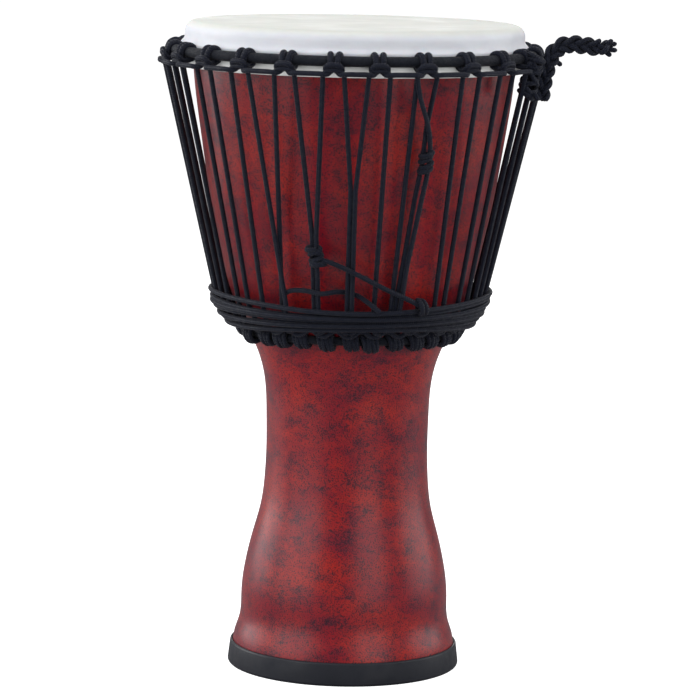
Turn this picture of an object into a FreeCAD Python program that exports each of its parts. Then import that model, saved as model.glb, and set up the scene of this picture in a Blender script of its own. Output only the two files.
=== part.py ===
"""Rope-tuned djembe: a hollow goblet shell with a preformed head, two sleeved steel rings and black rope.

Millimetres, +Z up. The origin is the centre of the circle that the drum stands on. Angles round the
drum start at its front (-Y) and turn towards +X.
"""
import FreeCAD, Part
import math
import os

Vector = FreeCAD.Vector
UP = Vector(0, 0, 1)

# Driving sizes
DRUM_HEIGHT = 610.0
ROPE_DIAMETER = 4.6
ROPE_RADIUS = ROPE_DIAMETER / 2
WALL = 7.0

# Shell: outer outline from the foot to the rim, as (radius, height)
FOOT_TUBE_RADIUS = 105.5
FOOT_TUBE_BOTTOM = 5.0
FOOT_TUBE_TOP = 20.0
STEM_OUTLINE = [
    (FOOT_TUBE_RADIUS, FOOT_TUBE_TOP), (103.8, 30.0), (99.9, 42.0), (98.0, 68.0), (94.0, 100.0),
    (87.6, 127.0), (81.0, 152.0), (77.6, 180.0), (76.5, 207.0), (76.9, 240.0), (78.9, 272.0), (85.8, 299.0),
]
BOWL_OUTLINE = [
    (97.8, 324.0), (112.8, 358.0), (122.8, 398.0), (132.6, 443.0), (141.9, 500.0), (148.4, 545.0),
    (151.0, 575.0), (151.3, 602.0),
]
RIM_CREST = (146.6, 609.1)
RIM_INNER = (143.6, 603.0)

# Rubber foot
FOOT_RADIUS = 110.0
FOOT_HEIGHT = 22.0
FOOT_LIP_RADIUS = 96.0
FOOT_ROUND = 3.0
FOOT_TAPER = 1.0
FOOT_TOP_ROUND = 2.0

# Head: a film disc whose collar is gripped by the flesh hoop
FILM = 0.8
COLLAR_RADIUS = 159.0
HEAD_ROUND = 10.0
FLARE_TOP = 594.5
FLARE_BOTTOM = 588.0
FLARE_LIFT = 0.4
HOOP_INNER_RADIUS = 158.6
HOOP_OUTER_RADIUS = 163.8
HOOP_BOTTOM = 568.5
HOOP_TOP = 582.6
SLOT_RADIUS = 162.4
SLOT_BOTTOM = 573.0

# Rings that carry the rope
CROWN_RADIUS = 168.8
CROWN_HEIGHT = 583.4
CROWN_CORE = 3.2
CROWN_SLEEVE = 4.8
LOWER_RADIUS = 100.0
LOWER_HEIGHT = 322.5
LOWER_CORE = 3.0
LOWER_SLEEVE = 4.0

# Where each hitch sits on the crown ring, in degrees: tied by hand in front, then evenly spaced
KNOT_ANGLES = [-80.0, -65.4, -50.3, -35.5, -20.6, -5.9, 7.4, 21.6, 36.4, 51.2, 65.2]
EVEN_KNOTS = 14
KNOT_GAP = (360.0 + KNOT_ANGLES[0] - KNOT_ANGLES[-1]) / (EVEN_KNOTS + 1)
TIE_OFF_KNOT = len(KNOT_ANGLES) - 1
KNOT_ANGLES += [KNOT_ANGLES[TIE_OFF_KNOT] + KNOT_GAP * step for step in range(1, EVEN_KNOTS + 1)]
KNOT_COUNT = len(KNOT_ANGLES)

# Centre line of a top hitch's left half, as (along the ring, outwards, upwards) from the ring's own
# centre line: the run in from the link, the rise behind the bar, and the start of the bar
BEDDING = 1.3
HITCH_RISE = [(-13.5, 12.6, -10.6), (-9.6, 13.4, -10.8), (-4.8, 8.8, -11.6), (-2.4, 6.6, -7.4)]
HITCH_TURN = (-2.4, -6.8)
HITCH_BAR = [(-7.6, 7.8, -8.2), (-6.4, 11.8, -2.6)]
LINK_END = HITCH_RISE[0]

# Lower hitches: how many, where the first one sits, and how far each of its two turns is from its middle
LOWER_COUNT = 30
LOWER_START = -0.2
LOWER_ANGLES = [LOWER_START + 360 / LOWER_COUNT * step for step in range(LOWER_COUNT)]
LOWER_HITCH_SPREAD = 3.6

# Lower cradle: half width in degrees, radius and height of its dips over the hitches and the rises between
CRADLE_DIP = (1.8, 112.2, 328.4)
CRADLE_RISE = (2.2, 112.6, 333.4)

# Lacing: the right half of a top loop, placed like a hitch, and the left half of a low one, as half
# width in degrees, radius and height
LACING_LEG_TOP = (9.6, 8.4, -13.0)
LACING_ARCH = (7.6, 10.4, -7.2)
FOOT_HALF = 4.2
FOOT_LEVEL = (126.4, 352.0)
LACING_LOW = [(3.4, 120.0, 340.0), (2.2, 115.6, 331.5)]

# Loops that hang unevenly, by the knot before them: the loop's own angle, then its left and right leg,
# each as (angle, radius, height) places from the top down to the wraps
UNEVEN_LOOPS = {
    3: (-28.0, [(-26.1, 129.6, 352.0)], [(-29.9, 123.4, 352.0)]),
    4: (-13.8, [(-14.3, 142.2, 424.0), (-14.8, 125.4, 352.0)],
        [(-12.6, 144.2, 424.0), (-12.8, 127.4, 352.0)]),
    5: (-0.2, [(-0.4, 152.0, 466.0), (-1.1, 125.4, 352.0)],
        [(1.2, 153.6, 466.0), (0.9, 127.4, 352.0)]),
    6: (13.8, [(10.0, 126.4, 352.0)], [(17.2, 126.4, 352.0)]),
    7: (28.4, [(23.2, 166.4, 524.0), (23.2, 159.4, 493.0), (22.0, 151.2, 458.0), (18.8, 126.4, 352.0)],
        [(37.6, 126.4, 352.0)]),
    8: (46.6, [(42.6, 126.4, 352.0)], [(51.6, 126.4, 352.0)]),
    9: (61.2, [(58.0, 126.4, 352.0)], [(65.0, 126.4, 352.0)]),
    10: (76.0, [(71.0, 126.4, 352.0)], [(81.0, 126.4, 352.0)]),
}

# Waist wraps, lowest first, as (radius, height) of each turn's centre line
WRAP_TURNS = [
    (117.6, 330.4), (120.6, 335.0), (124.0, 339.6), (127.2, 344.2), (129.6, 348.8), (130.9, 353.4),
    (131.4, 358.0),
]

# Strands that the player's side shows outside the lacing, as (angle, radius, height)
PULL_STRAND = [
    (-11.6, 142.6, 403.0), (-5.6, 142.4, 398.4), (0.0, 141.4, 392.4), (9.4, 138.6, 380.8),
    (19.5, 136.4, 369.2), (25.5, 136.8, 362.6), (29.2, 137.2, 357.6),
]
WEAVE_STRAND = [
    (-27.6, 127.4, 367.6), (-24.4, 131.6, 370.8), (-19.6, 134.0, 372.4), (-15.2, 135.6, 371.8),
    (-11.4, 135.6, 370.4), (-7.0, 132.4, 371.6), (-2.4, 125.4, 371.4), (2.4, 125.6, 369.0),
    (6.4, 131.0, 364.2), (9.6, 135.0, 358.6), (11.6, 136.8, 354.6),
]
SPLICE_STRAND = [
    (18.9, 179.6, 563.0), (20.0, 176.4, 549.0), (22.4, 173.0, 532.0), (24.2, 168.2, 514.0),
    (25.1, 162.6, 494.0), (24.0, 154.4, 458.0), (22.7, 146.4, 424.0), (21.3, 138.0, 388.0),
    (20.6, 132.6, 361.0),
]

# Small knots, each a stack of turns: the lower and upper end of its axis, the turns' radius and number
SLIP_KNOT = ((-12.2, 139.6, 399.5), (-13.6, 142.8, 413.5), 5.0, 3)
SPLICE_KNOT = ((24.2, 158.8, 486.5), (24.0, 162.2, 500.5), 5.4, 3)
WRAP_HITCH = ((27.3, 134.8, 358.4), (30.7, 134.8, 358.4), 5.6, 2)
TIE_OFF = ((65.0, 174.4, 551.0), (65.0, 182.4, 588.0), 6.6, 8)

# Free tail: leftover rope braided on itself, standing stiffly out from the tie-off, as (x, y, z)
TAIL_DIAMETER = 14.0
TAIL_ROUTE = [
    (171.8, -65.0, 546.0), (173.4, -64.4, 559.0), (176.0, -63.8, 571.8), (179.4, -63.2, 584.4),
    (187.2, -62.6, 594.6), (199.2, -62.2, 597.6), (211.8, -61.8, 595.6), (224.0, -61.6, 594.4),
]
TAIL_KNOT_CENTRE = (230.4, -61.6, 594.4)
TAIL_KNOT_RADIUS = 9.0
LOOSE_ENDS = [
    ((165.0, -80.0, 552.0), (169.0, -82.0, 546.0)),
    ((185.0, -60.0, 581.0), (189.6, -59.0, 577.4)),
]


def polar(angle, radius, height):
    """A point at an angle in degrees from the front, turning towards +X."""
    turn = math.radians(angle)
    return Vector(radius * math.sin(turn), -radius * math.cos(turn), height)


def knot_point(angle, along, out, up, radius=CROWN_RADIUS, height=CROWN_HEIGHT):
    """A point given from a ring's centre line: along the ring, outwards and upwards."""
    turn = math.radians(angle)
    sideways = Vector(math.cos(turn), math.sin(turn), 0)
    outwards = Vector(math.sin(turn), -math.cos(turn), 0)
    return outwards * (radius + out) + sideways * along + UP * (height + up)


def spline(outline):
    """A smooth edge through points of a half section."""
    curve = Part.BSplineCurve()
    curve.interpolate([Vector(radius, 0, height) for radius, height in outline])
    return curve.toShape()


def line(start, end):
    """A straight edge between two points of a half section."""
    return Part.makeLine(Vector(start[0], 0, start[1]), Vector(end[0], 0, end[1]))


def arc(start, middle, end):
    """A round edge through three points of a half section."""
    points = [Vector(radius, 0, height) for radius, height in (start, middle, end)]
    return Part.Arc(*points).toShape()


def revolve(edges):
    """A solid of revolution about Z from the closed half section that the edges make."""
    face = Part.Face(Part.Wire(Part.__sortEdges__(edges)))
    solid = face.revolve(Vector(0, 0, 0), UP, 360)
    if solid.Volume < 0:
        solid.reverse()
    return solid


def corner(before, here, after):
    """Where an arc that rounds a corner starts, bulges and ends, and its radius."""
    way_in = here - before
    way_out = after - here
    reach = 0.45 * min(way_in.Length, way_out.Length)
    way_in.normalize()
    way_out.normalize()
    half_turn = way_in.getAngle(way_out) / 2
    radius = reach / math.tan(half_turn)
    inwards = (way_out - way_in).normalize()
    middle = here + inwards * (radius / math.cos(half_turn) - radius)
    return here - way_in * reach, middle, here + way_out * reach, radius


def route(points, closed=False):
    """Straight runs joined by tangent arcs, as one wire, and the smallest radius on it."""
    if closed:
        points = [points[-1]] + points + [points[0]]
    corners = [corner(*points[index:index + 3]) for index in range(len(points) - 2)]
    edges = []
    here = corners[-1][2] if closed else points[0]
    for start, middle, end, radius in corners:
        edges.append(Part.makeLine(here, start))
        edges.append(Part.Arc(start, middle, end).toShape())
        here = end
    if not closed:
        edges.append(Part.makeLine(here, points[-1]))
    return Part.Wire(edges), min(found[3] for found in corners)


def rope(name, points, radius=ROPE_RADIUS, closed=False):
    """A solid of round section along a route, with its volume checked against section times length."""
    wire, tightest = route(points, closed)
    first = wire.Edges[0]
    way = first.tangentAt(first.FirstParameter)
    section = Part.Wire(Part.makeCircle(radius, first.valueAt(first.FirstParameter), way))
    solid = wire.makePipeShell([section], True, False)
    if solid.Volume < 0:
        solid.reverse()
    expected = math.pi * radius ** 2 * wire.Length
    ratio = round(solid.Volume / expected, 3)
    print(name, "length", round(wire.Length), "tightest radius", round(tightest, 1), "volume ratio", ratio)
    return solid


def ring(radius, height, section):
    """A round bar bent into a level ring."""
    return Part.makeTorus(radius, section, Vector(0, 0, height), UP)


# Rigid pieces

def shell():
    """Hollow goblet: a stem that flares at its foot, a bowl above it, and a rounded rim."""
    outline = STEM_OUTLINE + BOWL_OUTLINE
    inner = [(radius - WALL, height) for radius, height in outline[1:-1]]
    foot_inner = (FOOT_TUBE_RADIUS - WALL, FOOT_TUBE_BOTTOM)
    edges = [
        line((FOOT_TUBE_RADIUS, FOOT_TUBE_BOTTOM), (FOOT_TUBE_RADIUS, FOOT_TUBE_TOP)),
        spline(outline),
        arc(outline[-1], (150.2, 606.8), RIM_CREST),
        line(RIM_CREST, RIM_INNER),
        spline([foot_inner] + inner + [RIM_INNER]),
        line(foot_inner, (FOOT_TUBE_RADIUS, FOOT_TUBE_BOTTOM)),
    ]
    return revolve(edges)


def rubber_foot():
    """Moulded boot: a band outside the shell's foot and a lip under its edge, with rounded edges."""
    side = FOOT_RADIUS - FOOT_ROUND
    nudge = FOOT_ROUND * (1 - math.cos(math.radians(45)))
    top_side = FOOT_RADIUS - FOOT_TAPER
    top_flat = top_side - FOOT_TOP_ROUND
    top_start = FOOT_HEIGHT - FOOT_TOP_ROUND
    top_nudge = FOOT_TOP_ROUND * (1 - math.cos(math.radians(45)))
    edges = [
        line((FOOT_LIP_RADIUS, 0), (side, 0)),
        arc((side, 0), (FOOT_RADIUS - nudge, nudge), (FOOT_RADIUS, FOOT_ROUND)),
        line((FOOT_RADIUS, FOOT_ROUND), (top_side, top_start)),
        arc((top_side, top_start), (top_side - top_nudge, FOOT_HEIGHT - top_nudge), (top_flat, FOOT_HEIGHT)),
        line((top_flat, FOOT_HEIGHT), (FOOT_TUBE_RADIUS, FOOT_TUBE_TOP)),
        line((FOOT_TUBE_RADIUS, FOOT_TUBE_TOP), (FOOT_TUBE_RADIUS, FOOT_TUBE_BOTTOM)),
        line((FOOT_TUBE_RADIUS, FOOT_TUBE_BOTTOM), (FOOT_LIP_RADIUS, FOOT_TUBE_BOTTOM)),
        line((FOOT_LIP_RADIUS, FOOT_TUBE_BOTTOM), (FOOT_LIP_RADIUS, 0)),
    ]
    return revolve(edges)


def drum_head():
    """Film disc with a rounded shoulder, a straight collar and a flared hem that the hoop grips."""
    under = DRUM_HEIGHT - FILM
    flat = COLLAR_RADIUS - HEAD_ROUND
    shoulder = DRUM_HEIGHT - HEAD_ROUND
    inside = COLLAR_RADIUS - FILM
    diagonal = math.cos(math.radians(45))
    outer_mid = (flat + HEAD_ROUND * diagonal, shoulder + HEAD_ROUND * diagonal)
    inner_mid = (flat + (HEAD_ROUND - FILM) * diagonal, shoulder + (HEAD_ROUND - FILM) * diagonal)
    inner_flare = [(SLOT_RADIUS - FILM, FLARE_BOTTOM - FLARE_LIFT), (inside, FLARE_TOP - FLARE_LIFT)]
    edges = [
        line((0, DRUM_HEIGHT), (flat, DRUM_HEIGHT)),
        arc((flat, DRUM_HEIGHT), outer_mid, (COLLAR_RADIUS, shoulder)),
        line((COLLAR_RADIUS, shoulder), (COLLAR_RADIUS, FLARE_TOP)),
        line((COLLAR_RADIUS, FLARE_TOP), (SLOT_RADIUS, FLARE_BOTTOM)),
        line((SLOT_RADIUS, FLARE_BOTTOM), (SLOT_RADIUS, SLOT_BOTTOM)),
        line((SLOT_RADIUS, SLOT_BOTTOM), (SLOT_RADIUS - FILM, SLOT_BOTTOM)),
        line((SLOT_RADIUS - FILM, SLOT_BOTTOM), inner_flare[0]),
        line(*inner_flare),
        line(inner_flare[1], (inside, shoulder)),
        arc((inside, shoulder), inner_mid, (flat, under)),
        line((flat, under), (0, under)),
        line((0, under), (0, DRUM_HEIGHT)),
    ]
    return revolve(edges)


def flesh_hoop():
    """Channel ring whose slot holds the hem of the film, and whose edge the crown ring pulls down."""
    outline = [
        (HOOP_INNER_RADIUS, HOOP_BOTTOM), (HOOP_OUTER_RADIUS, HOOP_BOTTOM), (HOOP_OUTER_RADIUS, HOOP_TOP),
        (SLOT_RADIUS, HOOP_TOP), (SLOT_RADIUS, SLOT_BOTTOM), (SLOT_RADIUS - FILM, SLOT_BOTTOM),
        (SLOT_RADIUS - FILM, HOOP_TOP), (HOOP_INNER_RADIUS, HOOP_TOP),
    ]
    return revolve([line(outline[index - 1], outline[index]) for index in range(len(outline))])


def sleeve(radius, height, section, core):
    """Woven sleeve round a ring's steel bar."""
    return ring(radius, height, section).cut(ring(radius, height, core))


# Rope work

def turn_points(angle, start, end):
    """One turn of rope over the crown ring's bar, from its front over the top to its underside."""
    bend = (CROWN_SLEEVE + BEDDING) / math.cos(math.radians(22.5))
    points = []
    for step in range(7):
        around = math.radians(45 * step)
        along = start + (end - start) * step / 6
        points.append(knot_point(angle, along, bend * math.cos(around), bend * math.sin(around)))
    return points


def top_hitch(angle):
    """Cow hitch on the crown ring: two turns over the ring, and the bar that they hold against it."""
    rise = [knot_point(angle, *place) for place in HITCH_RISE]
    bar = [knot_point(angle, *place) for place in HITCH_BAR]
    far_bar = [knot_point(angle, -along, out, up) for along, out, up in reversed(HITCH_BAR)]
    fall = [knot_point(angle, -along, out, up) for along, out, up in reversed(HITCH_RISE)]
    start, end = HITCH_TURN
    near_turn = turn_points(angle, start, end)
    far_turn = turn_points(angle, -start, -end)[::-1]
    return rope("top hitch", rise + near_turn + bar + far_bar + far_turn + fall)


def top_link(angle, next_angle):
    """The straight stretch of cradle rope from one top hitch to the next."""
    along, out, up = LINK_END
    start = knot_point(angle, -along, out, up)
    end = knot_point(next_angle, along, out, up)
    way = end - start
    return Part.makeCylinder(ROPE_RADIUS, way.Length, start, way)


def span(index):
    """The angles of a knot and of the next one round."""
    angle = KNOT_ANGLES[index]
    next_angle = KNOT_ANGLES[(index + 1) % KNOT_COUNT]
    if next_angle < angle:
        next_angle += 360
    return angle, next_angle


def loop_angle(index):
    """Where the low loop below the space after a knot sits."""
    if index in UNEVEN_LOOPS:
        return UNEVEN_LOOPS[index][0]
    angle, next_angle = span(index)
    return (angle + next_angle) / 2


def loop_legs(index):
    """The places that the left and right leg of a low loop pass, from the top down."""
    if index in UNEVEN_LOOPS:
        return UNEVEN_LOOPS[index][1:]
    low = loop_angle(index)
    return [(low - FOOT_HALF, *FOOT_LEVEL)], [(low + FOOT_HALF, *FOOT_LEVEL)]


def lower_hitch(angle):
    """Two turns of the lower cradle round the lower ring, each closed on itself."""
    turns = []
    for along in (-LOWER_HITCH_SPREAD, LOWER_HITCH_SPREAD):
        centre = knot_point(angle, along, 0, 0, LOWER_RADIUS, LOWER_HEIGHT)
        turns.append(Part.makeTorus(LOWER_SLEEVE + BEDDING, ROPE_RADIUS, centre, polar(angle + 90, 1, 0)))
    return Part.makeCompound(turns)


def lower_cradle():
    """The wavy rope above the lower ring: it rises between the hitches to hold the lacing's loops."""
    points = []
    for angle in LOWER_ANGLES:
        for middle, place in ((angle, CRADLE_DIP), (angle + 180 / LOWER_COUNT, CRADLE_RISE)):
            half, radius, height = place
            points += [polar(middle - half, radius, height), polar(middle + half, radius, height)]
    return rope("lower cradle", points, closed=True)


def lacing():
    """The one long rope that zigzags between the crown's knots and the lower ring."""
    leg, out, up = LACING_LEG_TOP
    arch, arch_out, arch_up = LACING_ARCH
    points = []
    for step in range(KNOT_COUNT):
        index = (TIE_OFF_KNOT + step) % KNOT_COUNT
        angle = KNOT_ANGLES[index]
        low = loop_angle(index)
        if step:
            points += [
                knot_point(angle, -leg, out, up), knot_point(angle, -arch, arch_out, arch_up),
                knot_point(angle, arch, arch_out, arch_up),
            ]
        points.append(knot_point(angle, leg, out, up))
        left, right = loop_legs(index)
        points += [polar(*place) for place in left]
        points += [polar(low - half, radius, height) for half, radius, height in LACING_LOW]
        points += [polar(low + half, radius, height) for half, radius, height in reversed(LACING_LOW)]
        points += [polar(*place) for place in reversed(right)]
    points.append(knot_point(KNOT_ANGLES[TIE_OFF_KNOT], -leg, out, up))
    return rope("lacing", points)


def strand(name, places):
    """A single strand through places given as angle, radius and height."""
    return rope(name, [polar(*place) for place in places])


def knot(low, high, radius, count):
    """A small knot as its turns: rings of rope stacked along the strands that they bind."""
    start = polar(*low)
    way = polar(*high) - start
    turns = []
    for step in range(count):
        centre = start + way * ((step + 0.5) / count)
        turns.append(Part.makeTorus(radius, ROPE_RADIUS, centre, way))
    return turns


def tail():
    """The braided tail, the knot that ends it, and the tie-off it grows from, as separate solids."""
    braid = rope("tail", [Vector(*place) for place in TAIL_ROUTE], TAIL_DIAMETER / 2)
    end_knot = Part.makeSphere(TAIL_KNOT_RADIUS, Vector(*TAIL_KNOT_CENTRE)).cut(braid)
    turns = [turn.cut(braid) for turn in knot(*TIE_OFF)]
    return braid, end_knot, Part.makeCompound(turns)


def loose_end(start, end):
    """A short melted stub of rope with a rounded tip."""
    foot = Vector(*start)
    tip = Vector(*end)
    way = tip - foot
    stub = Part.makeCylinder(ROPE_RADIUS, way.Length, foot, way)
    return stub.fuse(Part.makeSphere(ROPE_RADIUS, tip)).removeSplitter()


# Assembly

def around(make, angles):
    """One group of separate solids, one for each angle."""
    return Part.makeCompound([make(angle) for angle in angles])


def pieces():
    """Every node of the drum, by name."""
    links = [top_link(*span(index)) for index in range(KNOT_COUNT)]
    turns = [ring(radius, height, ROPE_RADIUS) for radius, height in WRAP_TURNS]
    braid, end_knot, tie_off = tail()
    return {
        "shell": shell(),
        "rubber_foot": rubber_foot(),
        "drum_head": drum_head(),
        "flesh_hoop": flesh_hoop(),
        "crown_ring": ring(CROWN_RADIUS, CROWN_HEIGHT, CROWN_CORE),
        "crown_ring_sleeve": sleeve(CROWN_RADIUS, CROWN_HEIGHT, CROWN_SLEEVE, CROWN_CORE),
        "lower_ring": ring(LOWER_RADIUS, LOWER_HEIGHT, LOWER_CORE),
        "lower_ring_sleeve": sleeve(LOWER_RADIUS, LOWER_HEIGHT, LOWER_SLEEVE, LOWER_CORE),
        "top_hitches": around(top_hitch, KNOT_ANGLES),
        "top_cradle_links": Part.makeCompound(links),
        "lower_hitches": around(lower_hitch, LOWER_ANGLES),
        "lower_cradle_rope": lower_cradle(),
        "lacing_rope": lacing(),
        "waist_wraps": Part.makeCompound(turns),
        "pull_strand": strand("pull strand", PULL_STRAND),
        "weave_strand": strand("weave strand", WEAVE_STRAND),
        "splice_strand": strand("splice strand", SPLICE_STRAND),
        "slip_knot": Part.makeCompound(knot(*SLIP_KNOT)),
        "splice_knot": Part.makeCompound(knot(*SPLICE_KNOT)),
        "wrap_hitch": Part.makeCompound(knot(*WRAP_HITCH)),
        "tie_off_knot": tie_off,
        "tail_braid": braid,
        "tail_end_knot": end_knot,
        "loose_ends": Part.makeCompound([loose_end(*places) for places in LOOSE_ENDS]),
    }


os.makedirs("parts", exist_ok=True)
for node, shape in pieces().items():
    shape.exportStep("parts/" + node + ".step")
    volume = round(shape.Volume / 1000, 1)
    print(node, "solids", len(shape.Solids), "valid", shape.isValid(), "volume", volume, "cm3")
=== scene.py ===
# %% [markdown]
# # A rope-tuned djembe
# A goblet drum has few parts, but one of them, the rope, is everywhere. The rigid parts come packed from
# CAD: they fix every size and place. This lesson dresses them: it turns the shell, head and foot from
# outlines, ties the rope, and paints each surface with nodes.

# %% Load the frame
import math

import bpy
import numpy as np
from mathutils import Matrix, Vector


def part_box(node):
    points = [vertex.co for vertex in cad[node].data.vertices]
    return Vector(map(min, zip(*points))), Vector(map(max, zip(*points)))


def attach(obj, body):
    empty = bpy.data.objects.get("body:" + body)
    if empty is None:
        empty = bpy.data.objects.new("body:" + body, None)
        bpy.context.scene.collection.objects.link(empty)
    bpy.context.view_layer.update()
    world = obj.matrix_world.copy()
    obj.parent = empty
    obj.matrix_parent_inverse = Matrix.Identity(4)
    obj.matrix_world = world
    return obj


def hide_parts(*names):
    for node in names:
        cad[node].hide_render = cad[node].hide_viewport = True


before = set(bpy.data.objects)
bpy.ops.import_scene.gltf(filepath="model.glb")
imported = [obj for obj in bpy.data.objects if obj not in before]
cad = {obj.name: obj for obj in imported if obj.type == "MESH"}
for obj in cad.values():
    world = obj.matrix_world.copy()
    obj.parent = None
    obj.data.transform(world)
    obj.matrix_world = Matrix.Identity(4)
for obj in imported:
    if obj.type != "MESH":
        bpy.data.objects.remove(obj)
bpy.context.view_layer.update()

print("CAD nodes:", len(cad))

# %% [markdown]
# ## The sizes that the frame gives
# A ring's box tells its whole shape: half its height is the bar's radius, and its half width less that is
# the radius of its centre line. Reading sizes this way keeps the looks tied to the CAD model.

# %% Sizes from the frame
def ring_sizes(node):
    """Centre-line radius, height and bar radius of a level ring."""
    low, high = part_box(node)
    bar = (high.z - low.z) / 2
    return high.x - bar, (high.z + low.z) / 2, bar


CROWN_R, CROWN_Z, CROWN_BAR = ring_sizes("crown_ring_sleeve")
LOWER_R, LOWER_Z, LOWER_BAR = ring_sizes("lower_ring_sleeve")
HEAD_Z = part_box("drum_head")[1].z
ROPE_R = 0.0046 / 2
MM = 0.001
print("crown ring", round(CROWN_R, 4), round(CROWN_Z, 4), "lower ring", round(LOWER_R, 4), round(LOWER_Z, 4))

# %% [markdown]
# ## Camera and light
# The camera stands back and looks slightly down with a long lens, so the drum hardly narrows with height.
# Two tall soft boxes in front give the lacquer its pair of upright highlights, and the gap between them
# keeps the middle of the stem deep red. Two more at the sides and one behind round off the edges, and one
# overhead lights the head.

# %% Camera
LENS = 186.0
CAMERA_PLACE = (0.0012, -3.388, 0.781)
LOOK_DOWN = 8.07
ROLL = 1.15
camera_data = bpy.data.cameras.new("camera")
camera_data.lens = LENS
camera_data.sensor_width = 36.0
camera_data.clip_end = 60.0
camera = bpy.data.objects.new("camera", camera_data)
bpy.context.scene.collection.objects.link(camera)
pitch = Matrix.Rotation(math.radians(90 - LOOK_DOWN), 4, "X")
roll = Matrix.Rotation(math.radians(ROLL), 4, "Z")
camera.matrix_world = Matrix.Translation(CAMERA_PLACE) @ pitch @ roll
bpy.context.scene.camera = camera
bpy.context.scene.view_settings.view_transform = "Standard"
print("camera height", round(camera.location.z, 3))

# %% Lights
AIM_HEIGHT = 0.35
WORLD_LIGHT = 0.2

# Each light's azimuth in degrees from the camera's side, distance, height, width and height of box, power
SOFT_BOXES = {
    "soft_box_left": (-58, 2.6, 1.05, (2.5, 2.3), 46),
    "soft_box_right": (31, 2.6, 1.05, (1.6, 2.3), 27),
    "soft_box_side_left": (-112, 2.6, 1.05, (2.0, 2.3), 46),
    "soft_box_side_right": (100, 2.6, 1.05, (2.2, 2.3), 38),
    "soft_box_back": (180, 2.8, 1.3, (2.4, 2.2), 20),
    "soft_box_top": (0, 0.6, 3.0, (2.5, 2.5), 44),
}


def soft_box(name, azimuth, distance, height, size, power):
    """A rectangular light that faces the drum."""
    data = bpy.data.lights.new(name, "AREA")
    data.shape = "RECTANGLE"
    data.size, data.size_y = size
    data.energy = power
    light = bpy.data.objects.new(name, data)
    turn = math.radians(azimuth)
    place = Vector((distance * math.sin(turn), -distance * math.cos(turn), height))
    aim = Vector((0, 0, AIM_HEIGHT)) - place
    light.matrix_world = Matrix.Translation(place) @ aim.to_track_quat("-Z", "Y").to_matrix().to_4x4()
    bpy.context.scene.collection.objects.link(light)


for name, setup in SOFT_BOXES.items():
    soft_box(name, *setup)
world = bpy.data.worlds.new("studio")
bpy.context.scene.world = world
world.use_nodes = True
sky = world.node_tree.nodes["Background"]
sky.inputs["Color"].default_value = (1, 1, 1, 1)
sky.inputs["Strength"].default_value = WORLD_LIGHT
print("lights", len(SOFT_BOXES))

# %% [markdown]
# ## Small helpers for node trees
# Every material below is a tree of nodes. One helper adds a node with its settings and links, and the
# others wrap the few kinds of node that come up again and again, so that the cells stay short. Colours are
# written as display values from 0 to 255 and turned linear.

# %% Node helpers
def tint(red, green, blue):
    """A display colour as the linear values that shaders use, by the display curve's own constants."""
    values = [value / 255 for value in (red, green, blue)]
    linear = [v / 12.92 if v <= 0.04045 else ((v + 0.055) / 1.055) ** 2.4 for v in values]
    return (*linear, 1.0)


def add(tree, kind, settings=None, **inputs):
    """A node with its settings and input values; an input that is a socket is linked."""
    node = tree.nodes.new(kind)
    for name, value in (settings or {}).items():
        setattr(node, name, value)
    for name, value in inputs.items():
        key = int(name[1:]) if name[0] == "i" and name[1:].isdigit() else name.replace("_", " ")
        if isinstance(value, bpy.types.NodeSocket):
            tree.links.new(value, node.inputs[key])
        else:
            node.inputs[key].default_value = value
    return node


def math_node(tree, operation, first, second=0.0, clamp=False):
    """A math node's result."""
    node = add(tree, "ShaderNodeMath", {"operation": operation, "use_clamp": clamp}, i0=first, i1=second)
    return node.outputs[0]


def ramp(tree, factor, low, high):
    """A smooth step of a value from 0 at low to 1 at high."""
    node = add(tree, "ShaderNodeMapRange", {"interpolation_type": "SMOOTHSTEP"}, Value=factor)
    node.inputs["From Min"].default_value = low
    node.inputs["From Max"].default_value = high
    return node.outputs[0]


def mix_colour(tree, factor, first, second):
    """A mix of two colours."""
    node = add(tree, "ShaderNodeMix", {"data_type": "RGBA"})
    for index, value in ((0, factor), (6, first), (7, second)):
        if isinstance(value, bpy.types.NodeSocket):
            tree.links.new(value, node.inputs[index])
        else:
            node.inputs[index].default_value = value
    return node.outputs[2]


def noise(tree, vector, scale, detail=3.0, roughness=0.5):
    """A noise value at a vector."""
    values = {"Vector": vector, "Scale": scale, "Detail": detail, "Roughness": roughness}
    return add(tree, "ShaderNodeTexNoise", None, **values).outputs["Fac"]


def own_place(tree):
    """The place on the piece, as Object coordinates."""
    return add(tree, "ShaderNodeTexCoord").outputs["Object"]


def stretched(tree, scale):
    """Object coordinates scaled unevenly, for marks that are longer one way."""
    return add(tree, "ShaderNodeMapping", None, Vector=own_place(tree), Scale=scale).outputs["Vector"]


def material(name):
    """A new material, its tree and its shader."""
    made = bpy.data.materials.new(name)
    made.use_nodes = True
    tree = made.node_tree
    return made, tree, tree.nodes["Principled BSDF"]


def bump(tree, height, strength, distance):
    """A bump node's normal; the distance is in metres."""
    node = add(tree, "ShaderNodeBump", None, Strength=strength, Distance=distance, Height=height)
    return node.outputs["Normal"]


def colour(tree, shader, factor, first, second):
    """A mix of two colours as the shader's own."""
    tree.links.new(mix_colour(tree, factor, first, second), shader.inputs["Base Color"])


def gloss(tree, shader, grain, shift):
    """Roughness that follows a grain, shifted up or down."""
    tree.links.new(math_node(tree, "ADD", grain, shift), shader.inputs["Roughness"])


print("node helpers ready")


# %% [markdown]
# ## Groups that several finishes share
# The rope, the sleeves and the tail are all braided, so the braid is one group: two families of strands
# cross at an angle and take turns on top, and each strand is a rounded ridge. Fine grain is another group,
# because lacquer, rubber and film all break up their gloss in the same way at different scales.

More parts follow.
